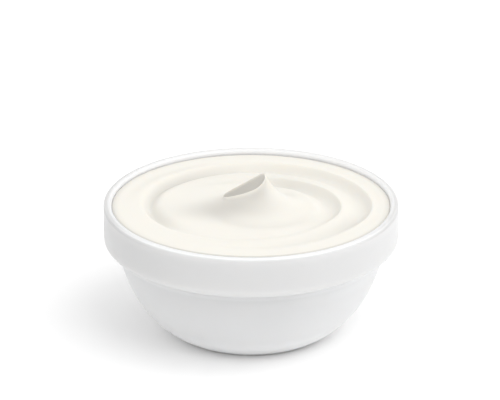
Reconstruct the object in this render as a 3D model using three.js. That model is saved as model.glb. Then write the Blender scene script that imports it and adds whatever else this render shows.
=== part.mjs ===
import * as THREE from 'three';

// Sizes are in millimetres. The bowl stands at height 0 with its axis on Z.
const SEGMENTS = 80;
const SLIVER = 0.001;

// Bowl: a rounded body under a straight collar
const RIM_RADIUS = 60;
const BOWL_HEIGHT = 54.6;
const RIM_WALL = 3.3;
const LIP_OUTER_ROUND = 1.1;
const LIP_INNER_ROUND = 1.2;
const LIP_STEPS = 3;
const COLLAR_FACE = 14.1;
const COLLAR_DEPTH = 18.6;
const COLLAR_ROUND = 2.8;
const COLLAR_EDGE_RADIUS = 54.9;
const COLLAR_STEP = 0.5;
const COLLAR_STEPS = 4;
const BODY_TOP_FALL = 14.9;
const BODY_TOP_LEAN = 2.9;
const BODY_FOOT_RISE = 7;
const BODY_FOOT_SPREAD = 13.9;
const BODY_STEPS = 9;
const FOOT_RADIUS = 30.3;
const FOOT_WIDTH = 4;
const FOOT_BEVEL = 1;
const FOOT_RECESS = 1.2;

// Inside of the bowl
const WALL_AT_SHOULDER = 3.4;
const SHOULDER_HEIGHT = 34.5;
const INNER_COLLAR_RISE = 9;
const INNER_COLLAR_LEAN = 1.9;
const INNER_COLLAR_STEPS = 3;
const INNER_BODY_FALL = 13.5;
const INNER_BODY_LEAN = 2.8;
const INNER_BODY_STEPS = 7;
const FLOOR_RADIUS = 26;
const FLOOR_HEIGHT = 5;
const FLOOR_EDGE_RISE = 2;
const FLOOR_EDGE_INSET = 9.5;

// Yogurt: a full bowl, stirred round and drawn up into a peak, a little higher at the front
const YOGURT_BELOW_RIM = 0.95;
const YOGURT_TILT = 0.9;
const YOGURT_GAP = 0.3;
const WALL_SLOPE = 0.2;
const EDGE_DROP = 0.4;
const EDGE_WIDTH = 1.6;
const SURFACE_RINGS = 36;
const RING_CROWDING = 1.2;

// Spiral groove: shares are of the way round to the front, the left or the back
const SWIRL_X = -2.1;
const SWIRL_OUTER_RADIUS = 51.5;
const SWIRL_PITCH = 12.65;
const SWIRL_FRONT_PULL = 3;
const PULL_FULL_SHARE = 0.7;
const PULL_LEFT_SHARE = 0.25;
const GROOVE_DEPTH = 2.7;
const GROOVE_SKEW = 1.7;
const GROOVE_ROUNDNESS = 0.75;
const GROOVE_ROUNDNESS_CHANGE = 0.25;
const GROOVE_SMOOTH_RADIUS = 27;
const GROOVE_SHARP_RADIUS = 37;
const GROOVE_OUTER_LIMIT = 51;
const GROOVE_LIMIT_SHIFT = 6;
const GROOVE_FADE = 8;
const GROOVE_FULL_TURNS = 1.1;
const GROOVE_END_TURNS = 1.38;
const GROOVE_BACK_DEEPENING = 0.3;
const GROOVE_FRONT_SMOOTHING = 0.8;
const SMOOTHING_START_SHARE = 0.1;
const SMOOTHING_FULL_SHARE = 0.8;
const SMOOTHING_LEFT_SHARE = 0.15;

// Dish of the whole top, and the hollow behind the peak
const DISH_DEPTH = 2;
const DISH_OUTER_RADIUS = 52;
const DISH_INNER_RADIUS = 16;
const BACK_HOLLOW_DEPTH = 0.9;
const BACK_HOLLOW_INNER_RADIUS = 25;
const BACK_HOLLOW_OUTER_RADIUS = 46;
const BACK_HOLLOW_START_SHARE = 0.3;
const BACK_HOLLOW_FULL_SHARE = 0.95;

// Peak, with a leaf-shaped fold on its left
const PEAK_X = 5.6;
const PEAK_Y = 3;
const PEAK_HEIGHT = 13.3;
const PEAK_FLARE = 6.2;
const PEAK_TAIL = 13;
const PEAK_TIP_ROUND = 0.8;
const FOLD_LENGTH = 16.8;
const FOLD_WIDTH = 4;
const FOLD_NARROWING = 0.4;
const FOLD_NARROWING_LENGTH = 3;
const FOLD_SKEW = 0.7;
const FOLD_BLUNTNESS = 0.25;
const FOLD_HOLLOW = 2.3;
const FOLD_CREST_LIFT = 2.5;
const FOLD_CREST_PEAK_SHARE = 0.75;
const FOLD_CREST_START = 2.5;
const FOLD_CREST_FULL = 7;
const FOLD_CREST_WIDTH = 1.6;

const { clamp, lerp, smoothstep } = THREE.MathUtils;

function at(radius, height) {
  return new THREE.Vector2(radius, height);
}

// Inside of the bowl from the lip down to the middle of its floor.
function innerWall() {
  const shoulder = at(COLLAR_EDGE_RADIUS - COLLAR_STEP - WALL_AT_SHOULDER, SHOULDER_HEIGHT);
  const collar = new THREE.QuadraticBezierCurve(
    at(RIM_RADIUS - RIM_WALL, BOWL_HEIGHT - LIP_INNER_ROUND),
    at(shoulder.x + INNER_COLLAR_LEAN, SHOULDER_HEIGHT + INNER_COLLAR_RISE),
    shoulder,
  );
  const body = new THREE.CubicBezierCurve(
    shoulder,
    at(shoulder.x - INNER_BODY_LEAN, SHOULDER_HEIGHT - INNER_BODY_FALL),
    at(shoulder.x - FLOOR_EDGE_INSET, FLOOR_HEIGHT + FLOOR_EDGE_RISE),
    at(FLOOR_RADIUS, FLOOR_HEIGHT),
  );
  return [
    ...collar.getPoints(INNER_COLLAR_STEPS),
    ...body.getPoints(INNER_BODY_STEPS).slice(1),
    at(0, FLOOR_HEIGHT),
  ];
}

// Rounded corner of the lip, through a quarter turn from an angle.
function lipRound(radius, height, round, start) {
  const corner = new THREE.EllipseCurve(radius, height, round, round, start, start + Math.PI / 2);
  return corner.getPoints(LIP_STEPS);
}

// Section of the bowl from the middle of its foot, up the outside and down to its floor.
function bowlOutline() {
  const collarFoot = BOWL_HEIGHT - COLLAR_DEPTH;
  const collarTop = BOWL_HEIGHT - COLLAR_FACE;
  const bodyTop = COLLAR_EDGE_RADIUS - COLLAR_STEP;
  const body = new THREE.CubicBezierCurve(
    at(FOOT_RADIUS, 0),
    at(FOOT_RADIUS + BODY_FOOT_SPREAD, BODY_FOOT_RISE),
    at(bodyTop - BODY_TOP_LEAN, collarFoot - BODY_TOP_FALL),
    at(bodyTop, collarFoot),
  );
  const collar = new THREE.QuadraticBezierCurve(
    at(COLLAR_EDGE_RADIUS, collarFoot),
    at(RIM_RADIUS, collarTop - COLLAR_ROUND),
    at(RIM_RADIUS, collarTop),
  );
  const lipOutside = RIM_RADIUS - LIP_OUTER_ROUND;
  const lipInside = RIM_RADIUS - RIM_WALL + LIP_INNER_ROUND;
  return [
    at(0, FOOT_RECESS),
    at(FOOT_RADIUS - FOOT_WIDTH - FOOT_BEVEL, FOOT_RECESS),
    at(FOOT_RADIUS - FOOT_WIDTH, 0),
    ...body.getPoints(BODY_STEPS),
    ...collar.getPoints(COLLAR_STEPS),
    ...lipRound(lipOutside, BOWL_HEIGHT - LIP_OUTER_ROUND, LIP_OUTER_ROUND, 0),
    ...lipRound(lipInside, BOWL_HEIGHT - LIP_INNER_ROUND, LIP_INNER_ROUND, Math.PI / 2),
    ...innerWall().slice(1),
  ];
}

// A spiral groove that winds in from the right, steep on its outer side. It lies further in and
// shallower at the front.
function grooveDepth(x, y) {
  const radius = Math.hypot(x - SWIRL_X, y);
  const bearing = Math.atan2(y, x - SWIRL_X);
  const right = Math.cos(bearing);
  const left = Math.max(-right, 0);
  const front = Math.max(-Math.sin(bearing), 0);
  const backLeft = Math.max((Math.sin(bearing) - right) * Math.SQRT1_2, 0);

  const pull = smoothstep(front + PULL_LEFT_SHARE * left, 0, PULL_FULL_SHARE);
  const pulled = radius + SWIRL_FRONT_PULL * pull;
  const turns = (pulled - SWIRL_OUTER_RADIUS) / SWIRL_PITCH + bearing / (2 * Math.PI);
  const wholeTurns = Math.floor(turns);
  const across = Math.sin(Math.PI * (turns - wholeTurns) ** GROOVE_SKEW) ** 2;
  const sharpness = right * smoothstep(radius, GROOVE_SMOOTH_RADIUS, GROOVE_SHARP_RADIUS);
  const section = across ** (GROOVE_ROUNDNESS + GROOVE_ROUNDNESS_CHANGE * (backLeft - sharpness));

  const limit = GROOVE_OUTER_LIMIT + GROOVE_LIMIT_SHIFT * right;
  const outer = 1 - smoothstep(radius, limit - GROOVE_FADE, limit);
  const winding = bearing / (2 * Math.PI) - wholeTurns - 1;
  const inner = 1 - smoothstep(winding, GROOVE_FULL_TURNS, GROOVE_END_TURNS);
  const forward = front - SMOOTHING_LEFT_SHARE * left;
  const smoothed = smoothstep(forward, SMOOTHING_START_SHARE, SMOOTHING_FULL_SHARE);
  const smoothing = 1 - GROOVE_FRONT_SMOOTHING * smoothed;
  const deepening = 1 + GROOVE_BACK_DEEPENING * backLeft;
  return GROOVE_DEPTH * section * outer * inner * smoothing * deepening;
}

// The peak flares out to the right and trails off in a folded crest to the left.
function peakHeight(x, y) {
  const left = PEAK_X - x;
  const front = PEAK_Y - y;
  const along = left > 0 ? left * PEAK_FLARE / PEAK_TAIL : left;
  const spread = Math.hypot(along, front, PEAK_TIP_ROUND) - PEAK_TIP_ROUND;
  const cone = PEAK_HEIGHT * Math.exp(-spread / PEAK_FLARE);
  const onFold = clamp(left / FOLD_LENGTH, 0, 1);
  const leaf = Math.sin(Math.PI * onFold ** FOLD_SKEW) ** FOLD_BLUNTNESS;
  const rising = smoothstep(left, FOLD_CREST_START, FOLD_CREST_FULL);
  const lift = FOLD_CREST_LIFT * lerp(FOLD_CREST_PEAK_SHARE, 1, rising);
  const crest = lift * leaf * Math.exp(-Math.abs(front) / FOLD_CREST_WIDTH);
  const narrowing = 1 - FOLD_NARROWING * Math.exp(-left / FOLD_NARROWING_LENGTH);
  const across = clamp(front / (FOLD_WIDTH * leaf * narrowing + SLIVER), 0, 1);
  const hollow = FOLD_HOLLOW * leaf * Math.sin(Math.PI * across ** FOLD_SKEW);
  return cone + crest - hollow;
}

// A shallow dish all round, with a broad hollow behind the peak.
function dishDepth(x, y) {
  const radius = Math.hypot(x - SWIRL_X, y);
  const dish = 1 - smoothstep(radius, DISH_INNER_RADIUS, DISH_OUTER_RADIUS);
  const middle = (BACK_HOLLOW_INNER_RADIUS + BACK_HOLLOW_OUTER_RADIUS) / 2;
  const hollowIn = smoothstep(radius, BACK_HOLLOW_INNER_RADIUS, middle);
  const hollowOut = 1 - smoothstep(radius, middle, BACK_HOLLOW_OUTER_RADIUS);
  const behind = smoothstep(y / radius, BACK_HOLLOW_START_SHARE, BACK_HOLLOW_FULL_SHARE);
  return DISH_DEPTH * dish + BACK_HOLLOW_DEPTH * behind * hollowIn * hollowOut;
}

// Relief of the stirred top, by the point and its share of the way out to the edge.
function reliefHeight(x, y, share) {
  return peakHeight(x, y) * (1 - share ** 4) - grooveDepth(x, y) - dishDepth(x, y);
}

function bowlGeometry() {
  const geometry = new THREE.LatheGeometry(bowlOutline(), SEGMENTS);
  return geometry.rotateX(Math.PI / 2);
}

// Turned body of the yogurt, its flat top then tilted, raised and drawn over to the peak.
function yogurtGeometry() {
  const level = BOWL_HEIGHT - YOGURT_BELOW_RIM;
  const wall = innerWall().map((p) => at(Math.max(p.x - YOGURT_GAP, 0), p.y + YOGURT_GAP));
  const below = (wall[0].y - level + EDGE_DROP) / (wall[0].y - wall[1].y);
  wall[0].lerp(wall[1], below);
  const flatRadius = wall[0].x - EDGE_WIDTH;
  const top = [];
  for (let ring = SURFACE_RINGS; ring >= 0; ring -= 1) {
    top.push(at(flatRadius * (ring / SURFACE_RINGS) ** RING_CROWDING, level));
  }
  const geometry = new THREE.LatheGeometry([...wall.reverse(), ...top], SEGMENTS);
  geometry.rotateX(Math.PI / 2);
  const position = geometry.attributes.position;
  for (let i = 0; i < position.count; i += 1) {
    const height = position.getZ(i);
    if (height > level - EDGE_DROP - SLIVER) {
      const flatX = position.getX(i);
      const flatY = position.getY(i);
      const share = Math.min(Math.hypot(flatX, flatY) / flatRadius, 1);
      const lift = -YOGURT_TILT * flatY / flatRadius;
      const widened = 1 + lift * WALL_SLOPE / flatRadius;
      const x = flatX * widened + PEAK_X * (1 - share ** 2);
      const y = flatY * widened + PEAK_Y * (1 - share ** 2);
      position.setXYZ(i, x, y, height + lift + reliefHeight(x, y, share));
    }
  }
  geometry.computeVertexNormals();
  return geometry;
}

const bowl = new THREE.Mesh(
  bowlGeometry(),
  new THREE.MeshStandardMaterial({ color: 0xf1f1ef, roughness: 0.2 }),
);
bowl.name = 'bowl';

const yogurt = new THREE.Mesh(
  yogurtGeometry(),
  new THREE.MeshStandardMaterial({ color: 0xfdf8ee, roughness: 0.45 }),
);
yogurt.name = 'yogurt';

const part = new THREE.Group();
part.name = 'bowl_of_yogurt';
part.add(bowl, yogurt);

export default part;
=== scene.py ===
import math
from types import SimpleNamespace

import bpy
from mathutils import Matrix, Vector


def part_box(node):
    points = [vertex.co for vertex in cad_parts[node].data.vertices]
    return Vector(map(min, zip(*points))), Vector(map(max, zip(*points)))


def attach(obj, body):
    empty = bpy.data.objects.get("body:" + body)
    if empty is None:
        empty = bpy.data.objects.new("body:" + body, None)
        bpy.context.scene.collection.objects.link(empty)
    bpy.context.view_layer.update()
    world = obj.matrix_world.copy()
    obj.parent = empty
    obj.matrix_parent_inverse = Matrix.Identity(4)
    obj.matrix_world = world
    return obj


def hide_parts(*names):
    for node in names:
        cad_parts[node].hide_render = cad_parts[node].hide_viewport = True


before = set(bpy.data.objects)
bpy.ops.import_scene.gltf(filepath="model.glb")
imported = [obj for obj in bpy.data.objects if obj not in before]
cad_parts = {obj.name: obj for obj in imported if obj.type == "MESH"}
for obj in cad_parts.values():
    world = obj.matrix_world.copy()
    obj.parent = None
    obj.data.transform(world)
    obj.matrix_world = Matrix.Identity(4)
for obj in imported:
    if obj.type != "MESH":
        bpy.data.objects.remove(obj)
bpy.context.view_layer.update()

# Bowl
# A small stacking bowl of white porcelain, with a straight collar above a rounded body, turned in one
# piece, dipped in clear glaze all over except the ring that it stands on, and fired. Its colour has
# painted shade, greyer on the lip's outer edge and the left of the collar, and painted light, whiter on
# the crown, inside the lip, in the crease, on the right of the body and on the low body.
MM = 0.001
rim_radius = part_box("bowl")[1][0]
bowl_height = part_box("bowl")[1][2]
rim_wall = 3.3 * MM
inner_radius = rim_radius - rim_wall
lip_outer_round = 1.1 * MM
lip_inner_round = 1.2 * MM
lip_steps = 8
collar_face = 14.1 * MM
collar_depth = 18.6 * MM
collar_round = 2.8 * MM
collar_edge_radius = 54.9 * MM
collar_step = 0.5 * MM
collar_steps = 12
crease_height = bowl_height - collar_depth
body_radius = collar_edge_radius - collar_step
body_top_lean = 2.9 * MM
body_top_fall = 14.9 * MM
body_foot_spread = 13.9 * MM
body_foot_rise = 7 * MM
body_steps = 30
foot_radius = 30.3 * MM
foot_width = 4 * MM
foot_bevel = 1 * MM
foot_recess = 1.2 * MM
shoulder_wall = 3.4 * MM
shoulder_height = 34.5 * MM
inner_collar_lean = 1.9 * MM
inner_collar_rise = 9 * MM
inner_collar_steps = 8
inner_body_lean = 2.8 * MM
inner_body_fall = 13.5 * MM
inner_body_steps = 20
inner_floor_inset = 9.5 * MM
inner_floor_rise = 2 * MM
inner_floor_radius = 26 * MM
inner_floor_height = 5 * MM
bowl_segments = 288
sharp_corner = 40

GLAZE_WHITE = (0.65, 0.65, 0.65, 1)
# Grey for painted shade on the lip's outer edge and the left of the collar, and for the glaze's own
# grey clouds.
GLAZE_CLOUD_AND_SHADE_GREY = (0.48, 0.48, 0.48, 1)
# White for painted light on the crown, inside the lip, in the crease, on the right of the body and on
# the low body.
GLAZE_PAINTED_LIGHT = (0.9, 0.9, 0.9, 1)
BARE_CLAY = (0.86, 0.85, 0.82, 1)
# Height of the painted light that whitens the shaded crease under the collar.
crease_light_height = crease_height - 1.2 * MM
# Each zone of the glaze fades between the first and the second of these values.
glaze_zones = {
    "front": (0.2, 0.9),
    "right": (0.1, 0.8),
    "left": (0.3, 0.95),
    "painted crease light": (0.2 * MM, 1.6 * MM),
    "collar foot": (crease_height - 0.3 * MM, crease_height + 0.3 * MM),
    "under collar": (crease_height - 9 * MM, crease_height - 1 * MM),
    "collar": (crease_height, crease_height + 2 * MM),
    "collar top": (bowl_height - 1.6 * MM, bowl_height - 0.8 * MM),
    "crown": (bowl_height - 0.6 * MM, bowl_height - 0.2 * MM),
    "edge height": (bowl_height - 2 * MM, bowl_height - 1 * MM),
    "edge radius": (rim_radius - 2.2 * MM, rim_radius - 1 * MM),
    "inside height": (bowl_height - 1.8 * MM, bowl_height - 1 * MM),
    "inside radius": (inner_radius, inner_radius + 1 * MM),
    "low": (2 * MM, 36 * MM),
    "lowest": (3 * MM, 12 * MM),
    "bare": (0.25 * MM, 0.45 * MM),
}
# Shares of painted shade (greyer) and painted light (whiter) in the glaze colour; the grey clouds are
# the glaze's own random tone.
shade_lost_at_front = 0.8
thin_in_clouds = 0.1
shade_on_left_collar = 0.3
light_in_crease = 0.2
light_on_crown = 0.1
highlight_on_front_crown = 0.4
light_inside_lip = 0.35
light_on_right_body = 0.15
light_under_right_collar = 0.3
light_low = 0.35
light_lowest = 0.6
glaze_clouds = {"Scale": 55, "Detail": 3}
glaze_ripple = {"Scale": 260, "Detail": 2}
glaze_bump = {"Strength": 0.06, "Distance": 0.4 * MM}
glaze_roughness = 0.4
cloud_roughness = 0.1
clay_roughness = 0.4
glaze_coat = 0.12
glaze_values = {
    "Coat Roughness": 0.2,
    "Specular IOR Level": 0.25,
    "Subsurface Weight": 0.8,
    "Subsurface Radius": (1, 0.95, 0.9),
    "Subsurface Scale": 8 * MM,
}


def bend(points, steps):
    """Points along the smooth curve pulled from the first of these points to the last."""
    run = []
    for step in range(steps + 1):
        share = step / steps
        row = points
        while len(row) > 1:
            row = [
                (a[0] + (b[0] - a[0]) * share, a[1] + (b[1] - a[1]) * share)
                for a, b in zip(row, row[1:])
            ]
        run.append(row[0])
    return run


def quarter_round(centre, radius, start, steps):
    """Points along a quarter circle, from an angle in degrees."""
    run = []
    for step in range(steps + 1):
        angle = math.radians(start + 90 * step / steps)
        run.append((centre[0] + radius * math.cos(angle), centre[1] + radius * math.sin(angle)))
    return run


def inner_wall():
    """Inside of the bowl as radius and height, from the lip down to the middle of its floor."""
    shoulder = body_radius - shoulder_wall
    collar = bend(
        [
            (inner_radius, bowl_height - lip_inner_round),
            (shoulder + inner_collar_lean, shoulder_height + inner_collar_rise),
            (shoulder, shoulder_height),
        ],
        inner_collar_steps,
    )
    body = bend(
        [
            (shoulder, shoulder_height),
            (shoulder - inner_body_lean, shoulder_height - inner_body_fall),
            (shoulder - inner_floor_inset, inner_floor_height + inner_floor_rise),
            (inner_floor_radius, inner_floor_height),
        ],
        inner_body_steps,
    )
    return collar + body[1:] + [(0, inner_floor_height)]


def bowl_outline():
    """The bowl's section as radius and height, from the middle of its foot round to its floor."""
    collar_top = bowl_height - collar_face
    body = bend(
        [
            (foot_radius, 0),
            (foot_radius + body_foot_spread, body_foot_rise),
            (body_radius - body_top_lean, crease_height - body_top_fall),
            (body_radius, crease_height),
        ],
        body_steps,
    )
    collar = bend(
        [
            (collar_edge_radius, crease_height),
            (rim_radius, collar_top - collar_round),
            (rim_radius, collar_top),
        ],
        collar_steps,
    )
    outside = (rim_radius - lip_outer_round, bowl_height - lip_outer_round)
    inside = (inner_radius + lip_inner_round, bowl_height - lip_inner_round)
    return [
        (0, foot_recess),
        (foot_radius - foot_width - foot_bevel, foot_recess),
        (foot_radius - foot_width, 0),
        *body,
        *collar,
        *quarter_round(outside, lip_outer_round, 0, lip_steps),
        *quarter_round(inside, lip_inner_round, 90, lip_steps),
        *inner_wall()[1:],
    ]


def turned(name, outline, segments):
    """A closed piece turned from an outline that starts and ends on the axis, facing outwards."""
    points = [(0, 0, outline[0][1])]
    for radius, height in outline[1:-1]:
        for k in range(segments):
            angle = 2 * math.pi * k / segments
            points.append((radius * math.cos(angle), radius * math.sin(angle), height))
    points.append((0, 0, outline[-1][1]))
    last_ring = len(points) - 1 - segments
    faces = []
    for k in range(segments):
        beside = (k + 1) % segments
        faces.append((0, 1 + beside, 1 + k))
        faces.append((len(points) - 1, last_ring + k, last_ring + beside))
        for ring in range(1, last_ring, segments):
            faces.append((ring + k, ring + beside, ring + segments + beside, ring + segments + k))
    mesh = bpy.data.meshes.new(name)
    mesh.from_pydata(points, [], faces)
    mesh.shade_smooth()
    piece = bpy.data.objects.new(name, mesh)
    bpy.context.collection.objects.link(piece)
    return piece


class Wire:
    """A socket of a node tree. Arithmetic on it adds Math nodes to the same tree."""

    def __init__(self, tree, socket=None):
        self.tree = tree
        self.socket = socket

    def node(self, kind, settings, sockets):
        """A new node with these settings and socket values or links, as its first output."""
        node = self.tree.nodes.new(kind)
        for name, value in settings.items():
            setattr(node, name, value)
        for name, value in sockets.items():
            if isinstance(value, Wire):
                self.tree.links.new(value.socket, node.inputs[name])
            else:
                node.inputs[name].default_value = value
        return Wire(self.tree, next(iter(node.outputs), None))

    def out(self, name):
        """Another output of the same node."""
        return Wire(self.tree, self.socket.node.outputs[name])

    def maths(self, operation, *values):
        """A Math node on these values."""
        return self.node("ShaderNodeMath", {"operation": operation}, dict(enumerate(values)))

    def ease(self, start, end):
        """0 at start and 1 at end, with a smooth change between them."""
        settings = {"interpolation_type": "SMOOTHSTEP"}
        return self.node("ShaderNodeMapRange", settings, {"Value": self, 1: start, 2: end})

    def __add__(self, other):
        return self.maths("ADD", self, other)

    def __radd__(self, other):
        return self.maths("ADD", other, self)

    def __sub__(self, other):
        return self.maths("SUBTRACT", self, other)

    def __rsub__(self, other):
        return self.maths("SUBTRACT", other, self)

    def __mul__(self, other):
        return self.maths("MULTIPLY", self, other)

    def __rmul__(self, other):
        return self.maths("MULTIPLY", other, self)

    def __truediv__(self, other):
        return self.maths("DIVIDE", self, other)

    def __rtruediv__(self, other):
        return self.maths("DIVIDE", other, self)

    def __pow__(self, other):
        return self.maths("POWER", self, other)

    def __rpow__(self, other):
        return self.maths("POWER", other, self)


def mix_colour(share, first, second):
    """A colour between two others: sockets 6 and 7 and output 2 of a Mix node are its colours."""
    settings = {"data_type": "RGBA"}
    mixed = share.node("ShaderNodeMix", settings, {"Factor": share, 6: first, 7: second})
    return Wire(share.tree, mixed.socket.node.outputs[2])


def noise(place, grain):
    """Soft random spots of this grain."""
    return place.node("ShaderNodeTexNoise", {}, {"Vector": place, **grain})


def bumps(height, sizes):
    """A surface that rises and falls with a height."""
    return height.node("ShaderNodeBump", {}, {"Height": height, **sizes})


def coating(name, values):
    """A new material with fixed values on its shader, and a wire for the place on the piece."""
    material = bpy.data.materials.new(name)
    material.use_nodes = True
    tree = material.node_tree
    for socket, value in values.items():
        tree.nodes["Principled BSDF"].inputs[socket].default_value = value
    return material, Wire(tree).node("ShaderNodeTexCoord", {}, {}).out("Object")


def feed(material, wires):
    """Joins wires to the sockets of a material's shader."""
    tree = material.node_tree
    for socket, wire in wires.items():
        tree.links.new(wire.socket, tree.nodes["Principled BSDF"].inputs[socket])


def glaze_light_and_shade(place, clouds):
    """How much painted shade (with the glaze's own grey clouds), how much painted light and how bare
    the glaze is at a place on the bowl.
    """
    split = place.node("ShaderNodeSeparateXYZ", {}, {0: place})
    x, y, height = split.out("X"), split.out("Y"), split.out("Z")
    radius = place.maths("SQRT", x * x + y * y)
    zone = glaze_zones
    at_front = (0 - y / radius).ease(*zone["front"])
    at_right = (x / rim_radius).ease(*zone["right"])
    at_left = (0 - x / rim_radius).ease(*zone["left"])
    in_crease = 1 - place.maths("ABSOLUTE", height - crease_light_height).ease(*zone["painted crease light"])
    below_collar = 1 - height.ease(*zone["collar foot"])
    under_collar = below_collar * height.ease(*zone["under collar"])
    on_collar = height.ease(*zone["collar"]) * (1 - height.ease(*zone["collar top"]))
    on_crown = height.ease(*zone["crown"])
    on_edge = height.ease(*zone["edge height"]) * radius.ease(*zone["edge radius"])
    inside_lip = height.ease(*zone["inside height"]) * (1 - radius.ease(*zone["inside radius"]))
    # Painted shade: greyer on the lip's outer edge, less so at the front, and on the left of the
    # collar; the clouds are the glaze's own grey tone.
    clouds_and_painted_shade = (
        on_edge * (1 - shade_lost_at_front * at_front)
        + clouds * thin_in_clouds
        + at_left * on_collar * shade_on_left_collar
    )
    # Painted light: whiter in the crease, on the crown with a painted highlight at its front, inside
    # the lip, on the right of the body and under its collar, and low on the body where the floor shades
    # it.
    painted_light = (
        in_crease * light_in_crease
        + on_crown * (light_on_crown + highlight_on_front_crown * at_front)
        + inside_lip * light_inside_lip
        + at_right * (below_collar * light_on_right_body + under_collar * light_under_right_collar)
        + (1 - height.ease(*zone["low"])) * light_low
        + (1 - height.ease(*zone["lowest"])) * light_lowest
    )
    bare = 1 - height.ease(*zone["bare"])
    return clouds_and_painted_shade, painted_light, bare


def white_glaze():
    """White porcelain under gloss glaze, with painted shade greyer and painted light whiter in its
    colour, and a bare foot ring.
    """
    material, place = coating("white_glaze", glaze_values)
    clouds = noise(place, glaze_clouds)
    clouds_and_painted_shade, painted_light, bare = glaze_light_and_shade(place, clouds)
    # The glaze colour with painted shade and painted light mixed in.
    glaze = mix_colour(painted_light, mix_colour(clouds_and_painted_shade, GLAZE_WHITE, GLAZE_CLOUD_AND_SHADE_GREY), GLAZE_PAINTED_LIGHT)
    wires = {
        "Base Color": mix_colour(bare, glaze, BARE_CLAY),
        "Roughness": glaze_roughness + clouds * cloud_roughness + bare * clay_roughness,
        "Coat Weight": glaze_coat - bare * glaze_coat,
        "Normal": bumps(noise(place, glaze_ripple), glaze_bump),
    }
    feed(material, wires)
    return material


bowl = turned("bowl_porcelain", bowl_outline(), bowl_segments)
bowl.data.set_sharp_from_angle(angle=math.radians(sharp_corner))
bowl.data.materials.append(white_glaze())
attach(bowl, "root")
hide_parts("bowl")

# Yogurt
# Plain set yogurt that fills the bowl almost to its lip. A spoon has stirred it round in a spiral
# groove and lifted out of the middle, which draws up a peak with a folded hollow on its left. Its
# colour has painted shade, darker in the groove, in the fold and on the flank below it, and along the
# edge.
SLIVER = 0.001 * MM
yogurt_level = bowl_height - 0.95 * MM
yogurt_gap = 0.04 * MM
edge_drop = 0.4 * MM
edge_width = 1.6 * MM
edge_steps = 6
yogurt_segments = 480
surface_rings = 150
ring_crowding = 1.2

yogurt_wall = [(max(r - yogurt_gap, 0), z + yogurt_gap) for r, z in inner_wall()]
wall_top, wall_below = yogurt_wall[:2]
edge_share = (wall_top[1] - yogurt_level + edge_drop) / (wall_top[1] - wall_below[1])
edge_radius = wall_top[0] + (wall_below[0] - wall_top[0]) * edge_share
flat_radius = edge_radius - edge_width

stir_sizes = {
    "Level": yogurt_level,
    "Tilt": 0.9 * MM,
    "Wall slope": 0.2,
    "Edge drop": edge_drop,
    "Flat radius": flat_radius,
    "Swirl X": -2.1 * MM,
    "Swirl outer radius": 51.5 * MM,
    "Swirl pitch": 12.65 * MM,
    "Swirl front pull": 3 * MM,
    "Pull full share": 0.7,
    "Pull left share": 0.25,
    "Groove depth": 2.7 * MM,
    "Groove skew": 1.7,
    "Groove roundness": 0.75,
    "Groove roundness change": 0.25,
    "Smooth radius": 27 * MM,
    "Sharp radius": 37 * MM,
    "Groove outer limit": 51 * MM,
    "Groove limit shift": 6 * MM,
    "Groove fade": 8 * MM,
    "Groove full turns": 1.1,
    "Groove end turns": 1.38,
    "Groove front smoothing": 0.8,
    "Smoothing start share": 0.1,
    "Smoothing full share": 0.8,
    "Smoothing left share": 0.15,
    "Groove back deepening": 0.3,
    "Dish depth": 2 * MM,
    "Dish outer radius": 52 * MM,
    "Dish inner radius": 16 * MM,
    "Back hollow depth": 0.9 * MM,
    "Back hollow inner radius": 25 * MM,
    "Back hollow outer radius": 46 * MM,
    "Back hollow start share": 0.3,
    "Back hollow full share": 0.95,
    "Peak X": 5.6 * MM,
    "Peak Y": 3 * MM,
    "Peak height": 13.3 * MM,
    "Peak flare": 6.2 * MM,
    "Peak tail": 13 * MM,
    "Peak tip round": 0.8 * MM,
    "Fold length": 16.8 * MM,
    "Fold width": 4 * MM,
    "Fold narrowing": 0.4,
    "Fold narrowing length": 3 * MM,
    "Fold skew": 0.7,
    "Fold bluntness": 0.25,
    "Fold hollow": 2.3 * MM,
    "Fold crest lift": 2.5 * MM,
    "Fold crest width": 1.6 * MM,
    "Fold crest peak share": 0.75,
    "Fold crest start": 2.5 * MM,
    "Fold crest full": 7 * MM,
    "Fold lip": 0.8 * MM,
    "Fold lip width": 0.7 * MM,
    "Skirt radius": 23 * MM,
    "Skirt width": 3.5 * MM,
    "Skirt depth": 0.4 * MM,
    "Skirt start": 4 * MM,
    "Skirt full": 18 * MM,
    "Back mark X": 11.5 * MM,
    "Back mark Y": 26 * MM,
    "Back mark size": 6 * MM,
    "Side mark X": 15 * MM,
    "Side mark Y": 11.5 * MM,
    "Side mark size": 4.5 * MM,
    "Mark depth": 0.4 * MM,
    "Outer ring radius": 47.5 * MM,
    "Outer ring width": 1.8 * MM,
    "Outer ring depth": 0.2 * MM,
    "Lumps": 0.15 * MM,
}
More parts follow.
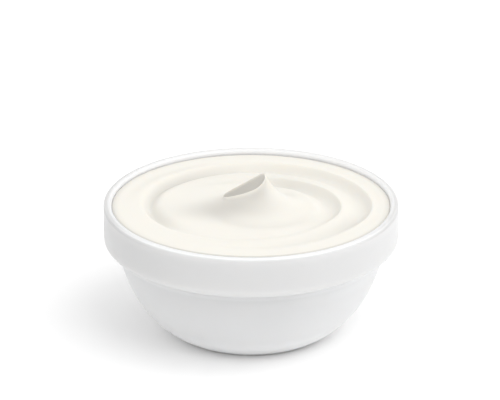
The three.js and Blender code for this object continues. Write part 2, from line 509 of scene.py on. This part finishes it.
# Shares of painted shade in the yogurt's colour: in the groove, ring, hollows, skirt and marks, on the
# flank and under the fold's lip, and along the edge; the fold's lip is left unshaded.
painted_shade_tones = {
    "Painted shade in groove": 0.12,
    "Painted shade in left groove": 0.1,
    "Painted shade in back left groove": 0.55,
    "Painted shade in front groove": 0.1,
    "Painted shade in right front groove": 0.8,
    "Right front forward share": 0.7,
    "Right front right share": 0.6,
    "Right front start radius": 34 * MM,
    "Right front full radius": 42 * MM,
    "Painted shade in outer ring": 0.2,
    "Painted shade in back hollow": 0.12,
    "Painted shade in skirt": 0.2,
    "Painted shade in marks": 0.3,
    "Painted shade on flank": 0.88,
    "Flank left": 15 * MM,
    "Flank front": 8 * MM,
    "Flank length": 18 * MM,
    "Flank width": 8 * MM,
    "Painted shade under lip": 0.3,
    "Under lip left": 3 * MM,
    "Under lip front": 4 * MM,
    "Under lip length": 4 * MM,
    "Under lip width": 2.5 * MM,
    "Lip shade loss": 0.9,
    "Painted shade at side edge": 0.35,
    "Side edge start": 0.95,
    "Side edge full": 1.04,
    "Painted shade at edge": 0.5,
    "Edge loss at sides": 0.25,
    "Edge gain at front": 0.3,
    "Edge start": 1.02,
    "Edge full": 1.045,
    "Fold shade blur": 0.3 * MM,
    "Fold shade fade start": 1.1 * MM,
    "Fold shade fade end": 0.5 * MM,
    "Fold shade leaf share": 0.5,
}
stir_inputs = {**stir_sizes, **painted_shade_tones}
lump_grain = {"Scale": 110, "Detail": 2}
lump_middle = 0.5

YOGURT_CREAM = (0.765, 0.743, 0.685, 1)
# Darker cream for painted shade.
YOGURT_PAINTED_SHADE = (0.54, 0.522, 0.485, 1)
painted_shade_strength = 0.98
cream_clouds = {"Scale": 90, "Detail": 4}
cream_share = 0.1
curd_grain = {"Scale": 1400, "Detail": 3}
curd_bump = {"Strength": 0.1, "Distance": 0.2 * MM}
yogurt_roughness = 0.5
gloss_in_painted_shade = 0.1
cream_roughness = 0.1
yogurt_values = {
    "Subsurface Weight": 0.35,
    "Subsurface Radius": (1, 0.8, 0.6),
    "Subsurface Scale": 1.2 * MM,
}


def yogurt_outline():
    """The yogurt's section before it is stirred: the bowl's inside, a rounded edge and a flat top."""
    roll = bend(
        [
            (edge_radius, yogurt_level - edge_drop),
            (edge_radius, yogurt_level),
            (flat_radius, yogurt_level),
        ],
        edge_steps,
    )
    rings = []
    for ring in range(surface_rings - 1, -1, -1):
        rings.append((flat_radius * (ring / surface_rings) ** ring_crowding, yogurt_level))
    return yogurt_wall[:0:-1] + roll + rings


def above_zero(wire):
    """The value, or 0 where it is less."""
    return wire.maths("MAXIMUM", wire, 0)


def up_to_one(wire):
    """The value, or 1 where it is more."""
    return wire.maths("MINIMUM", wire, 1)


def bell(*offsets):
    """1 where every offset is 0, falling smoothly to 0 around that place."""
    spread = sum(offset * offset for offset in offsets)
    return spread.maths("EXPONENT", 0 - spread)


def swirl_at(x, y, size):
    """The directions round the swirl, its spiral groove, the hollow at its back and its dish."""
    aside = x - size["Swirl X"]
    radius = x.maths("SQRT", aside * aside + y * y)
    bearing = x.maths("ARCTAN2", y, aside)
    rightness = x.maths("COSINE", bearing)
    backness = x.maths("SINE", bearing)
    forward = above_zero(0 - backness)
    leftness = above_zero(0 - rightness)
    back_left = above_zero((backness - rightness) * math.sqrt(0.5))

    pull = (forward + size["Pull left share"] * leftness).ease(0, size["Pull full share"])
    pulled = radius + size["Swirl front pull"] * pull
    turn = bearing / (2 * math.pi)
    turns = (pulled - size["Swirl outer radius"]) / size["Swirl pitch"] + turn
    whole_turns = x.maths("FLOOR", turns)
    wave = x.maths("SINE", math.pi * (turns - whole_turns) ** size["Groove skew"])
    sharper = rightness * radius.ease(size["Smooth radius"], size["Sharp radius"])
    change = size["Groove roundness change"]
    section = (wave * wave) ** (size["Groove roundness"] - change * sharper + change * back_left)

    limit = size["Groove outer limit"] + size["Groove limit shift"] * rightness
    outer_fade = 1 - radius.ease(limit - size["Groove fade"], limit)
    winding = turn - whole_turns - 1
    inner_fade = 1 - winding.ease(size["Groove full turns"], size["Groove end turns"])
    smooth_side = forward - size["Smoothing left share"] * leftness
    smoothed = smooth_side.ease(size["Smoothing start share"], size["Smoothing full share"])
    front_fade = 1 - size["Groove front smoothing"] * smoothed
    deepening = 1 + size["Groove back deepening"] * back_left

    behind = backness.ease(size["Back hollow start share"], size["Back hollow full share"])
    hollow_inner, hollow_outer = size["Back hollow inner radius"], size["Back hollow outer radius"]
    hollow_middle = (hollow_inner + hollow_outer) / 2
    hollow_in = radius.ease(hollow_inner, hollow_middle)
    hollow_out = 1 - radius.ease(hollow_middle, hollow_outer)
    return SimpleNamespace(
        radius=radius,
        rightness=rightness,
        forward=forward,
        leftness=leftness,
        left_behind=2 * leftness * above_zero(backness),
        groove=section * outer_fade * inner_fade * front_fade * deepening,
        back_hollow=behind * hollow_in * hollow_out,
        dish=1 - radius.ease(size["Dish inner radius"], size["Dish outer radius"]),
    )


def peak_at(left, front, size):
    """The peak's cone, and the leaf-shaped fold on its left with its crest, hollow and lip."""
    is_left = left.maths("GREATER_THAN", left, 0)
    along = left * (1 - is_left * (1 - size["Peak flare"] / size["Peak tail"]))
    tip = size["Peak tip round"]
    spread = left.maths("SQRT", along * along + front * front + tip * tip)
    on_fold = up_to_one(above_zero(left / size["Fold length"]))
    leaf_arch = left.maths("SINE", math.pi * on_fold ** size["Fold skew"])
    leaf = above_zero(leaf_arch) ** size["Fold bluntness"]
    at_peak = size["Fold crest peak share"]
    rise = at_peak + (1 - at_peak) * left.ease(size["Fold crest start"], size["Fold crest full"])
    beside = left.maths("ABSOLUTE", front) / size["Fold crest width"]
    narrowed = left.maths("EXPONENT", 0 - left / size["Fold narrowing length"])
    width = size["Fold width"] * leaf * (1 - size["Fold narrowing"] * narrowed) + SLIVER
    across = up_to_one(above_zero(front / width))
    return SimpleNamespace(
        cone=left.maths("EXPONENT", 0 - (spread - tip) / size["Peak flare"]),
        leaf=leaf,
        width=width,
        crest=leaf * rise * left.maths("EXPONENT", 0 - beside),
        hollow=leaf * left.maths("SINE", math.pi * across ** size["Fold skew"]),
        lip=leaf * bell((front - width) / size["Fold lip width"]),
    )


def relief_at(x, y, left, front, swirl, size):
    """The low relief: a skirt in front of the peak, the marks of the spoon and a faint outer ring."""
    from_peak = left.maths("SQRT", left * left + front * front)
    skirt = bell((from_peak - size["Skirt radius"]) / size["Skirt width"])
    marks = []
    for side in ("Back", "Side"):
        mark_size = size[f"{side} mark size"]
        mark_x = (x - size[f"{side} mark X"]) / mark_size
        mark_y = (y - size[f"{side} mark Y"]) / mark_size
        marks.append(bell(mark_x, mark_y))
    ring = bell((swirl.radius - size["Outer ring radius"]) / size["Outer ring width"])
    return SimpleNamespace(
        skirt=skirt * front.ease(size["Skirt start"], size["Skirt full"]),
        marks=sum(marks),
        outer_ring=ring * swirl.left_behind,
    )


def painted_shade_at(left, front, outwards, swirl, peak, relief, size):
    """Painted shade on the top: in the groove and marks, by the peak, in the fold, at the edge."""
    right_front = (
        swirl.forward.ease(0, size["Right front forward share"])
        * swirl.rightness.ease(0, size["Right front right share"])
        * swirl.radius.ease(size["Right front start radius"], size["Right front full radius"])
    )
    in_groove = (
        size["Painted shade in groove"]
        + size["Painted shade in left groove"] * swirl.leftness * swirl.leftness
        + size["Painted shade in back left groove"] * swirl.left_behind
        + size["Painted shade in front groove"] * swirl.forward
        + size["Painted shade in right front groove"] * right_front
    )
    flank = bell(
        (left - size["Flank left"]) / size["Flank length"],
        (front - size["Flank front"]) / size["Flank width"],
    )
    under_lip = bell(
        (left - size["Under lip left"]) / size["Under lip length"],
        (front - size["Under lip front"]) / size["Under lip width"],
    )
    sideways = swirl.rightness * swirl.rightness
    side_edge = sideways * outwards.ease(size["Side edge start"], size["Side edge full"])
    edge_tone = (
        size["Painted shade at edge"]
        - size["Edge loss at sides"] * sideways
        + size["Edge gain at front"] * swirl.forward
    )
    soft_painted_shade = (
        in_groove * swirl.groove
        + size["Painted shade in outer ring"] * relief.outer_ring
        + size["Painted shade in back hollow"] * swirl.back_hollow
        + size["Painted shade in skirt"] * relief.skirt
        + size["Painted shade in marks"] * relief.marks
        + size["Painted shade on flank"] * flank
        + size["Painted shade under lip"] * under_lip
        + size["Painted shade at side edge"] * side_edge
        + edge_tone * outwards.ease(size["Edge start"], size["Edge full"])
    )
    fade_start = peak.width - size["Fold shade fade start"]
    fade_end = peak.width - size["Fold shade fade end"]
    in_fold = (
        front.ease(0 - size["Fold shade blur"], size["Fold shade blur"])
        * (1 - front.ease(fade_start, fade_end))
        * peak.leaf.ease(0, size["Fold shade leaf share"])
    )
    return left.maths("MAXIMUM", soft_painted_shade * (1 - size["Lip shade loss"] * peak.lip), in_fold)


def stirring(material):
    """The tree that stirs a flat-topped piece: it raises the top and draws it over to the peak."""
    tree = bpy.data.node_groups.new("stirring", "GeometryNodeTree")
    tree.interface.new_socket("Geometry", in_out="INPUT", socket_type="NodeSocketGeometry")
    tree.interface.new_socket("Geometry", in_out="OUTPUT", socket_type="NodeSocketGeometry")
    for name in stir_inputs:
        tree.interface.new_socket(name, in_out="INPUT", socket_type="NodeSocketFloat")
    piece = Wire(tree).node("NodeGroupInput", {}, {})
    size = {name: piece.out(name) for name in stir_inputs}

    place = piece.node("GeometryNodeInputPosition", {}, {})
    flat = piece.node("ShaderNodeSeparateXYZ", {}, {0: place})
    flat_x, flat_y, flat_z = flat.out("X"), flat.out("Y"), flat.out("Z")
    on_top = flat_z.maths("GREATER_THAN", flat_z, size["Level"] - size["Edge drop"] - SLIVER)
    outwards = (flat_x * flat_x + flat_y * flat_y) / (size["Flat radius"] * size["Flat radius"])
    share = up_to_one(outwards)
    lift = 0 - size["Tilt"] * flat_y / size["Flat radius"]
    widened = 1 + lift * size["Wall slope"] / size["Flat radius"]
    x = flat_x * widened + size["Peak X"] * (1 - share)
    y = flat_y * widened + size["Peak Y"] * (1 - share)
    left, front = size["Peak X"] - x, size["Peak Y"] - y

    swirl = swirl_at(x, y, size)
    peak = peak_at(left, front, size)
    relief = relief_at(x, y, left, front, swirl, size)
    shade_mask = painted_shade_at(left, front, outwards, swirl, peak, relief, size)
    lumps = noise(x.node("ShaderNodeCombineXYZ", {}, {0: x, 1: y}), lump_grain) - lump_middle
    drawn_up = (
        size["Peak height"] * peak.cone
        + size["Fold crest lift"] * peak.crest
        + size["Fold lip"] * peak.lip
        - size["Fold hollow"] * peak.hollow
    )
    height = (
        flat_z
        + lift
        + drawn_up * (1 - share * share)
        - size["Groove depth"] * swirl.groove
        - size["Dish depth"] * swirl.dish
        - size["Back hollow depth"] * swirl.back_hollow
        - size["Skirt depth"] * relief.skirt
        - size["Mark depth"] * relief.marks
        - size["Outer ring depth"] * relief.outer_ring
        + size["Lumps"] * lumps * (1 - share)
    )
    raised = x.node("ShaderNodeCombineXYZ", {}, {0: x, 1: y, 2: height})
    # Stores the painted shade as an attribute for the yogurt's colour.
    marked = piece.node(
        "GeometryNodeStoreNamedAttribute",
        {"data_type": "FLOAT", "domain": "POINT"},
        {"Geometry": piece, "Name": "shade_mask", "Value": shade_mask * on_top},
    )
    stirred = piece.node(
        "GeometryNodeSetPosition",
        {},
        {"Geometry": marked, "Selection": on_top, "Position": raised},
    )
    solid = piece.node("GeometryNodeRealizeInstances", {}, {"Geometry": stirred})
    dressed = piece.node("GeometryNodeSetMaterial", {}, {"Geometry": solid, "Material": material})
    piece.node("NodeGroupOutput", {}, {"Geometry": dressed})
    return tree


def plain_yogurt():
    """Thick cream-white yogurt: soft light inside, a moist sheen, painted shade in its hollows and
    along its edge, and fine curd on its surface.
    """
    material, place = coating("plain_yogurt", yogurt_values)
    shade_mask = place.node("ShaderNodeAttribute", {"attribute_name": "shade_mask"}, {}).out("Fac")
    cream = noise(place, cream_clouds)
    # Painted shade from the stored mask darkens the cream; the clouds are its own random tone.
    tone = shade_mask * painted_shade_strength + cream * cream_share
    wires = {
        "Base Color": mix_colour(tone, YOGURT_CREAM, YOGURT_PAINTED_SHADE),
        "Roughness": yogurt_roughness - shade_mask * gloss_in_painted_shade + cream * cream_roughness,
        "Normal": bumps(noise(place, curd_grain), curd_bump),
    }
    feed(material, wires)
    return material


yogurt = turned("yogurt_stirred", yogurt_outline(), yogurt_segments)
stir_tree = stirring(plain_yogurt())
stir = yogurt.modifiers.new("stirring", "NODES")
stir.node_group = stir_tree
for item in stir_tree.interface.items_tree:
    if item.in_out == "INPUT" and item.name in stir_inputs:
        stir[item.identifier] = stir_inputs[item.name]
depsgraph = bpy.context.evaluated_depsgraph_get()
stirred_mesh = bpy.data.meshes.new_from_object(yogurt.evaluated_get(depsgraph), depsgraph=depsgraph)
yogurt.modifiers.remove(stir)
yogurt.data = stirred_mesh
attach(yogurt, "root")
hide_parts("yogurt")

# Floor, light and camera
# A wide floor of matt pale board under an even white sky, with a broad soft lamp high at the right
# front and a weaker one low on the right. The camera stands far off with a long lens, so that the
# bowl is seen almost without perspective.
FLOOR_WHITE = (0.94, 0.94, 0.94, 1)
FLOOR_TONE = (0.90, 0.90, 0.90, 1)
FLOOR_TONE_SHARE = 0.05
FLOOR_GRAIN = {"Scale": 8}
FLOOR_VALUES = {"Roughness": 0.9, "Specular IOR Level": 0}
FLOOR_HALF = 10
FLOOR_CORNERS = ((-1, -1), (1, -1), (1, 1), (-1, 1))
SKY_WHITE = (1, 1, 1, 1)
SKY_STRENGTH = 0.975
LAMP_DISTANCE = 2
LAMPS = {
    "front_lamp": {"strength": 15, "size": 1.9, "bearing": -45, "height": 58},
    "side_lamp": {"strength": 4, "size": 1.2, "bearing": 20, "height": 25},
}
PICTURE = (500, 400)
RIM_CENTRE_PIXEL = (251, 202.3)
RIM_RADIUS_PIXELS = 147.5
VIEW_BEARING = -90
VIEW_HEIGHT = 22.47
CAMERA_DISTANCE = 3
SENSOR_WIDTH = 36


def pale_floor():
    """Matt white board with a faint tone."""
    material, place = coating("pale_floor", FLOOR_VALUES)
    tone = noise(place, FLOOR_GRAIN) * FLOOR_TONE_SHARE
    feed(material, {"Base Color": mix_colour(tone, FLOOR_WHITE, FLOOR_TONE)})
    return material


floor_mesh = bpy.data.meshes.new("floor")
corners = [(FLOOR_HALF * x, FLOOR_HALF * y, 0) for x, y in FLOOR_CORNERS]
floor_mesh.from_pydata(corners, [], [(0, 1, 2, 3)])
floor_mesh.materials.append(pale_floor())
floor = bpy.data.objects.new("floor", floor_mesh)
bpy.context.collection.objects.link(floor)

sky = bpy.data.worlds.new("sky")
sky.use_nodes = True
sky_light = sky.node_tree.nodes["Background"]
sky_light.inputs["Color"].default_value = SKY_WHITE
sky_light.inputs["Strength"].default_value = SKY_STRENGTH
bpy.context.scene.world = sky


def towards(bearing, height):
    """A unit direction, by its bearing from the right and its height, in degrees."""
    turn, rise = math.radians(bearing), math.radians(height)
    return (math.cos(rise) * math.cos(turn), math.cos(rise) * math.sin(turn), math.sin(rise))


def aimed(thing, place, target):
    """Places a lamp or camera so that it looks at a target."""
    thing.location = place
    look = Vector(target) - Vector(place)
    thing.rotation_euler = look.to_track_quat("-Z", "Y").to_euler()
    bpy.context.collection.objects.link(thing)


for name, lamp in LAMPS.items():
    light = bpy.data.lights.new(name, "AREA")
    light.shape = "DISK"
    light.size = lamp["size"]
    light.energy = lamp["strength"]
    lamp_way = towards(lamp["bearing"], lamp["height"])
    lamp_place = [LAMP_DISTANCE * way for way in lamp_way]
    aimed(bpy.data.objects.new(name, light), lamp_place, (0, 0, bowl_height / 2))

camera_data = bpy.data.cameras.new("camera")
camera_data.sensor_width = SENSOR_WIDTH
pixel = rim_radius / RIM_RADIUS_PIXELS
camera_data.lens = SENSOR_WIDTH * CAMERA_DISTANCE / (PICTURE[0] * pixel)
camera = bpy.data.objects.new("camera", camera_data)
aside = (PICTURE[0] / 2 - RIM_CENTRE_PIXEL[0]) * pixel
up = (RIM_CENTRE_PIXEL[1] - PICTURE[1] / 2) * pixel
rise = math.radians(VIEW_HEIGHT)
target = (aside, up * math.sin(rise), bowl_height + up * math.cos(rise))
back = towards(VIEW_BEARING, VIEW_HEIGHT)
aimed(camera, [t + CAMERA_DISTANCE * way for t, way in zip(target, back)], target)
bpy.context.scene.camera = camera

bpy.context.scene.view_settings.view_transform = "Standard"
